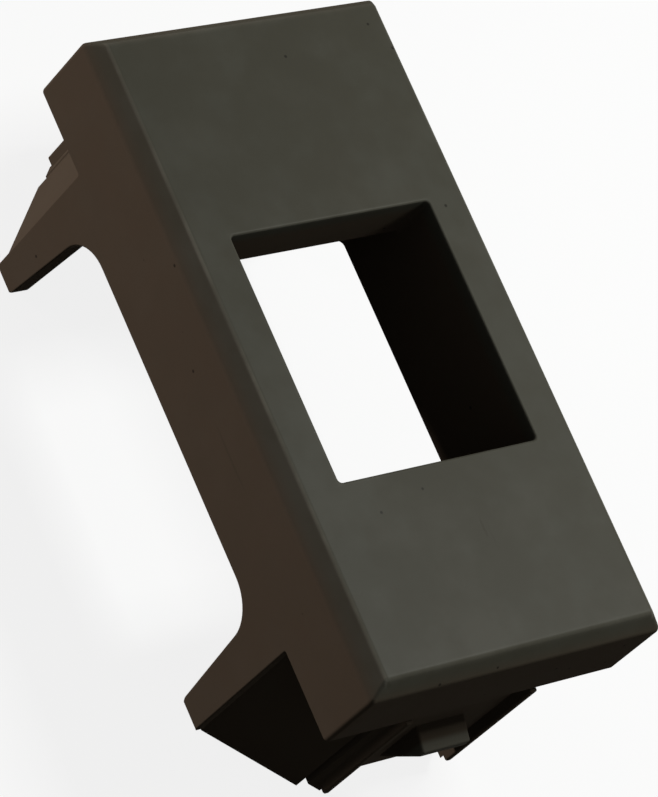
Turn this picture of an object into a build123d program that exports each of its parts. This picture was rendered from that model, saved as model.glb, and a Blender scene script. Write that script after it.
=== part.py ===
from build123d import *
import math
import os

os.makedirs("parts", exist_ok=True)

# Keystone wall module adapter: one moulding, half a module wide, in millimetres.
# The front face looks up (+Z) and the feet stand on z = 0.
# +Y runs along the module and +X across it.
# A "depth" is measured back from the front face.

# Front plate
module_width = 22.5
module_length = 45.0
total_height = 19.0
plate_wall = 2.0
bevel_inset = 0.9
bevel_drop = 1.2
bevel_foot_round = 0.6
face_edge_round = 0.4
corner_round = 0.3
rear_edge_round = 0.12

# Cheeks, shoulders and legs
side_wall = 1.2
end_wall = 1.2
shoulder_depth = 6.9
cheek_depth = 8.55
leg_set_in = 6.1
leg_root_width = 3.25
leg_foot_width = 2.1
leg_root_round = 2.8
foot_inner_round = 0.8
foot_outer_round = 0.3
foot_side_round = 0.5

# Latch at each end: a springy tongue between two legs braced by slanted wings
wing_set_in = 0.6
wing_wall = 1.2
slit_width = 0.3
slit_depth = 7.5
tongue_half_width = 4.8
tongue_tab = 0.6
tongue_tab_short_of_feet = 0.8
tongue_set_in = 0.55
tongue_short_of_feet = 2.8
fin_middle = 4.85
fin_width = 0.5
fin_proud = 0.2
fin_short_of_feet = 1.45
fin_round = 0.15

# Snap nose in the middle of each tongue
nose_half_width = 1.9
nose_reach = 1.1
nose_catch_depth = 10.3
nose_catch_drop = 0.5
nose_land = 0.6
nose_ramp_length = 3.8
nose_round = 0.15
nose_side_round = 0.2

# Keystone port
port_width = 15.3
port_length = 16.85
port_shift = -0.7
port_corner_round = 0.3
port_edge_round = 0.15
port_wall = 1.2
housing_corner_round = 0.4
port_depth = 9.45
lip_depth = 4.0
lip_wall = 1.2
hook_pocket = 2.0
latch_pocket = 3.9
latch_way_out = 2.3
catch_wall = 1.55
pocket_corner_round = 0.5

# Bodies that are joined run this far into each other.
merge = 0.5

# Spots closer than this are the same spot.
near = 0.01

half_width = module_width / 2
half_length = module_length / 2
under_plate = total_height - plate_wall
leg_outer = half_length - leg_set_in
port_low = port_shift - port_length / 2
port_high = port_shift + port_length / 2


def level(depth):
    """Height above the feet of a depth measured back from the front face."""
    return total_height - depth


def block(x_low, x_high, y_low, y_high, z_low, z_high):
    """Rectangular solid between six limits."""
    middle = ((x_low + x_high) / 2, (y_low + y_high) / 2, (z_low + z_high) / 2)
    return Pos(*middle) * Box(x_high - x_low, y_high - y_low, z_high - z_low)


def upright(points, low, high):
    """Solid that stands on a plan outline, between two heights."""
    plan = make_face(Polyline(*points, close=True))
    return Pos(0, 0, low) * extrude(plan, high - low)


def round_at(outline, spots, radius):
    """Rounds the corners of a flat outline that lie at the given spots."""
    corners = []
    for corner in outline.vertices():
        if any(math.dist((corner.X, corner.Y), spot) < near for spot in spots):
            corners.append(corner)
    return fillet(corners, radius)


def both_sides(spots):
    """The same spots on both sides of the middle line."""
    return spots + [(-across, up) for across, up in spots]


def rear_rims(hull):
    """Edges behind the plate that outline the cheeks and legs on both outer sides."""
    rims = []
    for edge in hull.edges():
        ends = [edge @ 0, edge @ 1]
        on_side = all(abs(half_width - abs(end.X)) < near for end in ends)
        at_end_wall = all(abs(half_length - abs(end.Y)) < near for end in ends)
        if on_side and ends[0].Z < under_plate and ends[1].Z < under_plate and not at_end_wall:
            rims.append(edge)
    return rims


def side_hull():
    """Side view drawn right across the module: plate, shoulders and tapering legs."""
    bevel_foot = (half_length, level(bevel_drop))
    toe_outer = (leg_outer, 0)
    toe_inner = (leg_outer - leg_foot_width, 0)
    arch = (leg_outer - leg_root_width, level(cheek_depth))
    half = [
        (half_length - bevel_inset, total_height),
        bevel_foot,
        (half_length, level(shoulder_depth)),
        (leg_outer, level(shoulder_depth)),
        toe_outer,
        toe_inner,
        arch,
    ]
    other_half = [(-y, z) for y, z in reversed(half)]
    outline = make_face(Polyline(*half, *other_half, close=True))
    outline = round_at(outline, both_sides([bevel_foot]), bevel_foot_round)
    outline = round_at(outline, both_sides([arch]), leg_root_round)
    outline = round_at(outline, both_sides([toe_inner]), foot_inner_round)
    outline = round_at(outline, both_sides([toe_outer]), foot_outer_round)
    hull = extrude(Plane.YZ * outline, half_width, both=True)
    return fillet(rear_rims(hull), rear_edge_round)


def cross_hull():
    """End view drawn along the whole module: bevelled plate over straight cheeks."""
    bevel_foot = (half_width, level(bevel_drop))
    half = [(half_width - bevel_inset, total_height), bevel_foot, (half_width, 0)]
    other_half = [(-x, z) for x, z in reversed(half)]
    outline = make_face(Polyline(*half, *other_half, close=True))
    outline = round_at(outline, both_sides([bevel_foot]), bevel_foot_round)
    outline = round_at(outline, both_sides([(half_width, 0)]), foot_side_round)
    return extrude(Plane.XZ * outline, half_length, both=True)


def shell():
    """Plate, cheeks with their legs, and end walls, with every outer edge rounded."""
    hull = side_hull() & cross_hull()
    ridges = []
    for edge in hull.edges():
        middle = edge @ 0.5
        direction = edge % 0.5
        beside_side = abs(half_width - abs(middle.X)) < bevel_inset
        beside_end = abs(half_length - abs(middle.Y)) < bevel_inset
        rises = abs(direction.Z) > abs(direction.X) + near
        if beside_side and beside_end and rises:
            ridges.append(edge)
    hull = fillet(ridges, corner_round)
    front_face = hull.faces().sort_by(Axis.Z)[-1]
    hull = fillet(front_face.edges(), face_edge_round)
    inner_x = half_width - side_wall
    inner_y = half_length - end_wall
    return hull - block(-inner_x, inner_x, -inner_y, inner_y, -merge, under_plate)


def nose(tongue_outer):
    """Wedge that snaps behind the frame, with its catch face turned to the front."""
    tip = half_length + nose_reach
    catch = level(nose_catch_depth)
    crest = catch - nose_catch_drop
    land_end = crest - nose_land
    ramp_end = land_end - nose_ramp_length
    outline = make_face(
        Polyline(
            (tongue_outer - merge, catch),
            (tongue_outer, catch),
            (tip, crest),
            (tip, land_end),
            (tongue_outer, ramp_end),
            (tongue_outer - merge, ramp_end),
            close=True,
        )
    )
    outline = round_at(outline, [(tip, crest), (tip, land_end)], nose_round)
    wedge = extrude(Plane.YZ * outline, nose_half_width, both=True)
    rims = []
    for edge in wedge.edges():
        middle = edge @ 0.5
        beside = abs(nose_half_width - abs(middle.X)) < near
        if beside and middle.Y > tongue_outer:
            rims.append(edge)
    return fillet(rims, nose_side_round)


def latch():
    """Wings, slits, finned tongue and snap nose of the +Y end."""
    wing_start = half_width - wing_set_in
    outer_sum = wing_start + leg_outer
    inner_sum = outer_sum - wing_wall * math.sqrt(2)
    wing_root = leg_outer - wing_wall
    tongue_edge = tongue_half_width + tongue_tab
    tongue_inner = inner_sum - tongue_half_width
    tongue_outer = half_length - tongue_set_in
    slit_end = tongue_edge + slit_width
    shoulder = level(shoulder_depth)
    top = under_plate + merge

    wing = upright(
        [
            (wing_start, leg_outer),
            (tongue_half_width, outer_sum - tongue_half_width),
            (tongue_half_width, tongue_inner),
            (inner_sum - wing_root, wing_root),
            (wing_start, wing_root),
        ],
        0,
        top,
    )
    wing -= block(tongue_edge, slit_end, 0, half_length, -merge, level(slit_depth))
    wing -= block(0, slit_end, 0, half_length, -merge, tongue_tab_short_of_feet)
    fin_plan = RectangleRounded(fin_width, half_length + fin_proud - tongue_inner, fin_round)
    fin_centre = (half_length + fin_proud + tongue_inner) / 2
    fin = Pos(fin_middle, fin_centre, fin_short_of_feet) * extrude(
        fin_plan, shoulder - fin_short_of_feet
    )
    side = wing + fin
    tongue = block(
        -tongue_half_width,
        tongue_half_width,
        tongue_inner,
        tongue_outer,
        tongue_short_of_feet,
        top,
    )
    return side + mirror(side, Plane.YZ) + tongue + nose(tongue_outer)


def rounded_shaft(y_low, y_high, z_low, z_high, radius):
    """Straight hole as wide as the port, with rounded upright corners."""
    plan = RectangleRounded(port_width, y_high - y_low, radius)
    return Pos(0, (y_low + y_high) / 2, z_low) * extrude(plan, z_high - z_low)


def port_housing():
    """Box hung under the plate around the keystone port."""
    side = port_width / 2 + port_wall
    low = port_low - hook_pocket - port_wall
    high = port_high + latch_pocket + port_wall
    box = block(-side, side, low, high, level(port_depth), under_plate + merge)
    return fillet(box.edges().filter_by(Axis.Z), housing_corner_round)


def port_hollow():
    """Port through the plate, pocket behind it and way out at the back."""
    catch = level(port_depth - catch_wall)
    lip_end = level(lip_depth)
    pocket_low = port_low - hook_pocket
    pocket_high = port_high + latch_pocket
    way_out = port_high + latch_way_out
    mouth = rounded_shaft(port_low, port_high, catch, total_height + merge, port_corner_round)
    pocket = rounded_shaft(pocket_low, pocket_high, catch, lip_end, pocket_corner_round)
    above_latch = rounded_shaft(
        port_high + lip_wall, pocket_high, catch, under_plate, pocket_corner_round
    )
    back = rounded_shaft(
        port_low, way_out, level(port_depth) - merge, catch + merge, pocket_corner_round
    )
    return mouth + pocket + above_latch + back


body = shell() + port_housing()
end = latch()
body = body + end + mirror(end, Plane.XZ)
body = body - port_hollow()

front_face = body.faces().sort_by(Axis.Z)[-1]
port_mouth = front_face.inner_wires()[0]
body = fillet(port_mouth.edges(), port_edge_round)

adapter_body = body.solids()[0]
export_step(adapter_body, "parts/adapter_body.step")
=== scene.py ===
import math

import bmesh
import bpy
from mathutils import Matrix, Vector


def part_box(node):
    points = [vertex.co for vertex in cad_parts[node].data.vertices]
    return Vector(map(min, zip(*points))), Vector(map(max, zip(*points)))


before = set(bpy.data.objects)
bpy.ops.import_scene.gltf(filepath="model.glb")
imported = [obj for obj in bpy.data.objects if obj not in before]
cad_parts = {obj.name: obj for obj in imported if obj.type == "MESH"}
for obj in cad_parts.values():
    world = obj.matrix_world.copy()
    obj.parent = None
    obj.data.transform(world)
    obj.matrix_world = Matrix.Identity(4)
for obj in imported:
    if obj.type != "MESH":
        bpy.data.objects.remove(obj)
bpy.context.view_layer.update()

MM = 0.001

# The module's own sizes, in millimetres, that the wear and the painted highlight follow.
MODULE_LENGTH = 45.0
BEVEL_INSET = 0.9
PORT_WIDTH = 15.3
PORT_LENGTH = 16.85
PORT_SHIFT = -0.7

# Depths behind the front face, in millimetres, where each treatment starts and is full.
WIPED_REACH = (0.25, 0.02)
HIGHLIGHT_AND_WEAR_REACH = (0.5, 0.2)
TINT_REACH = (1.5, 0.4)

# Widths of the lighter rim lines, partly wear and partly painted highlight, and how far past the
# end wall the snap nose is painted lit.
SIDE_RIM_WIDTH = 0.14
END_RIM_WIDTH = 0.35
PORT_RIM_WIDTH = 0.3
NOSE_PAINTED_LIT_PAST = (0.3, 0.7)

# One short nick in the front face: its middle, width and half length, in millimetres.
NICK_ACROSS = 0.9
NICK_ALONG = -13.9
NICK_WIDTH = 0.13
NICK_REACH = (0.35, 0.8)

# Sizes of the clouds, streaks and grain, in millimetres.
FLOW_SIZE = 14
MOTTLE_SIZE = 2.2
GRAIN_SIZE = 0.16
PATCH_SIZE = 5
HAIRLINE_SIZE = 0.8
HAIRLINE_SPREAD = 6
SPECKS_PER_MM = 0.4
SPECK_EDGE = (0.025, 0.06)

# Gloss of the plastic, and depth of its grain in millimetres.
PLASTIC_IOR = 1.5
MOULDED_ROUGHNESS = 0.78
MOULDED_GLOSS = 0.01
WIPED_GLOSS = 0.12
WIPED_ROUGHNESS = 0.42
GRAIN_DEPTH = 0.012
GRAIN_STRENGTH = 0.35

# Studio: the floor in metres, the lamps' aim in millimetres.
FLOOR_REACH = 3.0
FLOOR_GLOW = 0.85
FLOOR_BOUNCE = (0.06, 0.058, 0.054, 1)
AIR_FILL = 0.09
LAMP_AIM = (0, 0, 12)
WHITE = (1, 1, 1, 1)

# Camera in millimetres and degrees; what it sees starts and ends in metres.
EYE = (-178.6, -84.63, 241.3)
LOOKS_AT = (-0.377, -1.226, 12.0)
ROLL = 46.501
LENS = 221.0
SENSOR = 36
SEEN_FROM_TO = (0.01, 20)

# Colours of the plastic as they look on a screen.
OLIVE_DARK = (68, 66, 57)
OLIVE_PALE = (74, 73, 65)
# Lighter rims are partly wear and partly a painted highlight; the lighter nose tips are painted
# light.
HIGHLIGHT_AND_WEAR = (96, 94, 85)
# Painted light: the plastic behind the front face is painted browner for the warm side light and
# the face's sheen.
PAINTED_SIDE_LIGHT_BROWN = (76, 66, 55)
SCRATCHED = (58, 55, 46)
SPECK = (30, 27, 23)


class Socket:
    """A shader socket that takes part in sums, so that masks read as formulas."""

    def __init__(self, tree, output):
        self.tree = tree
        self.output = output

    def _maths(self, operation, first, second):
        node = self.tree.nodes.new("ShaderNodeMath")
        node.operation = operation
        for place, value in enumerate((first, second)):
            if isinstance(value, Socket):
                self.tree.links.new(value.output, node.inputs[place])
            else:
                node.inputs[place].default_value = value
        return Socket(self.tree, node.outputs[0])

    def __add__(self, other):
        return self._maths("ADD", self, other)

    def __radd__(self, other):
        return self._maths("ADD", other, self)

    def __sub__(self, other):
        return self._maths("SUBTRACT", self, other)

    def __rsub__(self, other):
        return self._maths("SUBTRACT", other, self)

    def __mul__(self, other):
        return self._maths("MULTIPLY", self, other)

    def __rmul__(self, other):
        return self._maths("MULTIPLY", other, self)

    def __abs__(self):
        return self._maths("ABSOLUTE", self, 0.0)


class Look:
    """A node tree being put together, for a material or for the world."""

    def __init__(self, holder):
        holder.use_nodes = True
        self.tree = holder.node_tree
        self.tree.nodes.clear()

    def node(self, kind, settings=None, sockets=None, out=0):
        """Adds any node: its settings first, then the values or links of its sockets."""
        made = self.tree.nodes.new(kind)
        for key, value in (settings or {}).items():
            setattr(made, key, value)
        for key, value in (sockets or {}).items():
            if isinstance(value, Socket):
                self.tree.links.new(value.output, made.inputs[key])
            else:
                made.inputs[key].default_value = value
        return Socket(self.tree, made.outputs[out])

    def deliver(self, kind, shader):
        """Ends the tree with its output node."""
        end = self.tree.nodes.new(kind)
        self.tree.links.new(shader.output, end.inputs["Surface"])

    def larger(self, first, second):
        return self.node("ShaderNodeMath", {"operation": "MAXIMUM"}, {0: first, 1: second})

    def rise(self, value, low, high):
        """Smooth rise from 0 to 1 between two limits."""
        return self.node(
            "ShaderNodeMapRange",
            {"interpolation_type": "SMOOTHSTEP"},
            {0: value, 1: low, 2: high, 3: 0.0, 4: 1.0},
        )

    def line(self, distance, width):
        """Soft line where a distance is nought, as wide on each side as given."""
        return 1 - self.rise(abs(distance), width * 0.3, width)

    def blend(self, mask, low, high):
        """Mixes two colours by a mask."""
        return self.node(
            "ShaderNodeMix",
            {"data_type": "RGBA", "clamp_factor": True},
            {0: mask, 6: low, 7: high},
            out=2,
        )

    def noise(self, where, size, detail, roughness=0.5, stretch=(1.0, 1.0, 1.0)):
        """Cloudy noise of one grain size, in the units of its coordinates."""
        spread = self.node("ShaderNodeMapping", {}, {"Vector": where, "Scale": stretch})
        return self.node(
            "ShaderNodeTexNoise",
            {"noise_dimensions": "3D"},
            {"Vector": spread, "Scale": 1 / size, "Detail": detail, "Roughness": roughness},
        )

    def white_backdrop(self):
        """1 for the rays that show the background: from the camera, by gloss or through glass."""
        rays = ("Is Camera Ray", "Is Glossy Ray", "Is Transmission Ray")
        camera, glossy, through = (self.node("ShaderNodeLightPath", out=ray) for ray in rays)
        return self.node(
            "ShaderNodeMath",
            {"operation": "MINIMUM"},
            {0: camera + glossy + through, 1: 1.0},
        )


def screen(colour):
    """Screen colour, 0 to 255, as a linear colour with alpha."""
    made = []
    for channel in colour:
        share = channel / 255
        made.append(share / 12.92 if share <= 0.04045 else ((share + 0.055) / 1.055) ** 2.4)
    return (*made, 1.0)


def moulded_olive_plastic():
    """Olive-grey moulded plastic: glossier in front, painted browner behind for the side light
    and the face's sheen, rims lighter from wear and a painted highlight, nose tips painted lit.
    """
    material = bpy.data.materials.new("moulded_olive_plastic")
    look = Look(material)
    place = look.node("ShaderNodeTexCoord", out="Object")
    where = look.node(
        "ShaderNodeVectorMath", {"operation": "SCALE"}, {"Vector": place, "Scale": 1 / MM}
    )
    across = look.node("ShaderNodeSeparateXYZ", {}, {0: where}, out="X")
    along = look.node("ShaderNodeSeparateXYZ", {}, {0: where}, out="Y")
    height = look.node("ShaderNodeSeparateXYZ", {}, {0: where}, out="Z")

    lowest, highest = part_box("adapter_body")
    front = highest[2] / MM
    half_width = highest[0] / MM
    half_length = MODULE_LENGTH / 2

    def by_depth(reach):
        return look.rise(height, front - reach[0], front - reach[1])

    in_front = by_depth(WIPED_REACH)
    near_front = by_depth(HIGHLIGHT_AND_WEAR_REACH)
    past_side = abs(across) - (half_width - BEVEL_INSET)
    past_end = abs(along) - (half_length - BEVEL_INSET)
    side_rim = look.line(past_side, SIDE_RIM_WIDTH)
    end_rim = look.line(past_end, END_RIM_WIDTH)
    past_port_side = abs(across) - PORT_WIDTH / 2
    past_port_end = abs(along - PORT_SHIFT) - PORT_LENGTH / 2
    port_rim = look.line(look.larger(past_port_side, past_port_end), PORT_RIM_WIDTH)

    flow = look.noise(where, FLOW_SIZE, 2.0, stretch=(1.0, 0.45, 1.0))
    mottle = look.noise(where, MOTTLE_SIZE, 3.0)
    grain = look.noise(where, GRAIN_SIZE, 3.0, 0.6)
    patchy = look.rise(look.noise(where, PATCH_SIZE, 4.0, 0.65), 0.42, 0.7)
    # Lighter rim lines along the face's edges and the port: partly wear, partly a painted
    # highlight.
    rims = look.larger(side_rim, look.larger(end_rim, port_rim) * 0.25)
    # Painted light: the snap nose's outer part, beyond the end plate's shadow, is painted
    # lighter.
    nose_start, nose_full = (half_length + past for past in NOSE_PAINTED_LIT_PAST)
    nose_painted_lit = look.rise(abs(along), nose_start, nose_full)
    highlight_and_wear = rims * near_front * (0.35 + patchy * 0.65) + nose_painted_lit
    # Painted light: everything behind the front face is tinted browner, standing in for the warm
    # side light and the face's sheen.
    behind_face = 1 - by_depth(TINT_REACH)

    streaks = look.noise(where, HAIRLINE_SIZE, 2.0, stretch=(1.0, 0.05, 1.0))
    hairline = look.rise(streaks, 0.70, 0.75)
    faint = hairline * look.rise(look.noise(where, HAIRLINE_SPREAD, 1.0), 0.58, 0.66)
    beside_nick = across - NICK_ACROSS + (mottle - 0.5) * 0.4
    within_nick = 1 - look.rise(abs(along - NICK_ALONG), *NICK_REACH)
    nick = look.line(beside_nick, NICK_WIDTH) * within_nick * in_front
    scratched = look.larger(faint * 0.5, nick)
    cells = look.node(
        "ShaderNodeTexVoronoi", {"feature": "F1"}, {"Vector": where, "Scale": SPECKS_PER_MM}
    )
    specks = 1 - look.rise(cells, *SPECK_EDGE)

    tone = look.rise(flow * 0.6 + mottle * 0.4, 0.36, 0.64)
    base = look.blend(tone, screen(OLIVE_DARK), screen(OLIVE_PALE))
    # Painted light: the browner tint behind the front face.
    base = look.blend(behind_face * (0.7 + mottle * 0.3), base, screen(PAINTED_SIDE_LIGHT_BROWN))
    # Painted highlight and wear: the rim lines and the nose tips are lightened.
    base = look.blend(highlight_and_wear * 0.8 + patchy * 0.05, base, screen(HIGHLIGHT_AND_WEAR))
    base = look.blend(scratched * 0.55, base, screen(SCRATCHED))
    base = look.blend(specks * 0.8, base, screen(SPECK))

    roughness = MOULDED_ROUGHNESS + grain * 0.1 + mottle * 0.06 - highlight_and_wear * 0.08
    wiped = in_front * (WIPED_GLOSS + patchy * 0.02 - mottle * 0.02)
    relief = grain * 0.7 + mottle * 0.3 - scratched * 0.4
    bumped = look.node(
        "ShaderNodeBump",
        {},
        {"Strength": GRAIN_STRENGTH, "Distance": GRAIN_DEPTH * MM, "Height": relief},
    )
    shader = look.node(
        "ShaderNodeBsdfPrincipled",
        {},
        {
            "Base Color": base,
            "Roughness": roughness,
            "Normal": bumped,
            "IOR": PLASTIC_IOR,
            "Specular IOR Level": MOULDED_GLOSS,
            "Coat Weight": wiped,
            "Coat Roughness": WIPED_ROUGHNESS,
        },
    )
    look.deliver("ShaderNodeOutputMaterial", shader)
    return material


def pale_studio_paper():
    """White to the eye with the part's shadow kept, and a quiet tone in the bounce."""
    material = bpy.data.materials.new("pale_studio_paper")
    look = Look(material)
    lit = look.node("ShaderNodeBsdfDiffuse", {}, {"Color": WHITE})
    glow = look.node("ShaderNodeEmission", {}, {"Color": WHITE, "Strength": 1.0})
    seen = look.node("ShaderNodeMixShader", {}, {0: FLOOR_GLOW, 1: lit, 2: glow})
    quiet = look.node("ShaderNodeBsdfDiffuse", {}, {"Color": FLOOR_BOUNCE})
    paper = look.node("ShaderNodeMixShader", {}, {0: look.white_backdrop(), 1: quiet, 2: seen})
    look.deliver("ShaderNodeOutputMaterial", paper)
    return material


def studio_floor(reach):
    """One large sheet of pale paper under the feet."""
    sheet = bmesh.new()
    bmesh.ops.create_grid(sheet, x_segments=1, y_segments=1, size=reach)
    mesh = bpy.data.meshes.new("studio_floor")
    sheet.to_mesh(mesh)
    sheet.free()
    mesh.materials.append(pale_studio_paper())
    floor = bpy.data.objects.new("studio_floor", mesh)
    bpy.context.scene.collection.objects.link(floor)


def studio_air(strength):
    """World that lights the part faintly from all round and shows white behind it."""
    world = bpy.data.worlds.new("studio_air")
    look = Look(world)
    level = look.white_backdrop() * (1 - strength) + strength
    air = look.node("ShaderNodeBackground", {}, {"Color": WHITE, "Strength": level})
    look.deliver("ShaderNodeOutputWorld", air)
    bpy.context.scene.world = world


def soft_lamp(name, place_mm, size_mm, power, colour):
    """Area lamp hung at one place and turned to face the part."""
    lamp = bpy.data.lights.new(name, "AREA")
    lamp.shape = "RECTANGLE"
    lamp.size, lamp.size_y = (side * MM for side in size_mm)
    lamp.energy = power
    lamp.color = colour
    aim = Vector(LAMP_AIM) * MM
    place = Vector(place_mm) * MM
    holder = bpy.data.objects.new(name, lamp)
    holder.location = place
    holder.rotation_euler = (place - aim).to_track_quat("Z", "Y").to_euler()
    bpy.context.scene.collection.objects.link(holder)


def photo_camera():
    """Camera at the photograph's viewpoint: a long lens, rolled as the picture is."""
    eye = Vector(EYE) * MM
    aim = Vector(LOOKS_AT) * MM
    roll = math.radians(ROLL)
    data = bpy.data.cameras.new("photo_view")
    data.lens = LENS
    data.sensor_width = SENSOR
    data.clip_start, data.clip_end = SEEN_FROM_TO
    forward = (aim - eye).normalized()
    level = forward.cross(Vector((0, 0, 1))).normalized()
    above = level.cross(forward)
    right = level * math.cos(roll) + above * math.sin(roll)
    up = right.cross(forward)
    turned = Matrix((right, up, -forward)).transposed().to_4x4()
    turned.translation = eye
    camera = bpy.data.objects.new("photo_view", data)
    camera.matrix_world = turned
    bpy.context.scene.collection.objects.link(camera)
    bpy.context.scene.camera = camera


plastic = moulded_olive_plastic()
for surface_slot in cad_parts["adapter_body"].material_slots:
    surface_slot.material = plastic

studio_floor(FLOOR_REACH)
studio_air(AIR_FILL)
soft_lamp("key_lamp", (92, -4, 160), (50, 50), 0.235, (0.97, 0.99, 0.96))
soft_lamp("warm_side_lamp", (-190, 195, 10), (60, 20), 0.54, (1.0, 0.89, 0.86))
photo_camera()
bpy.context.scene.view_settings.view_transform = "Standard"
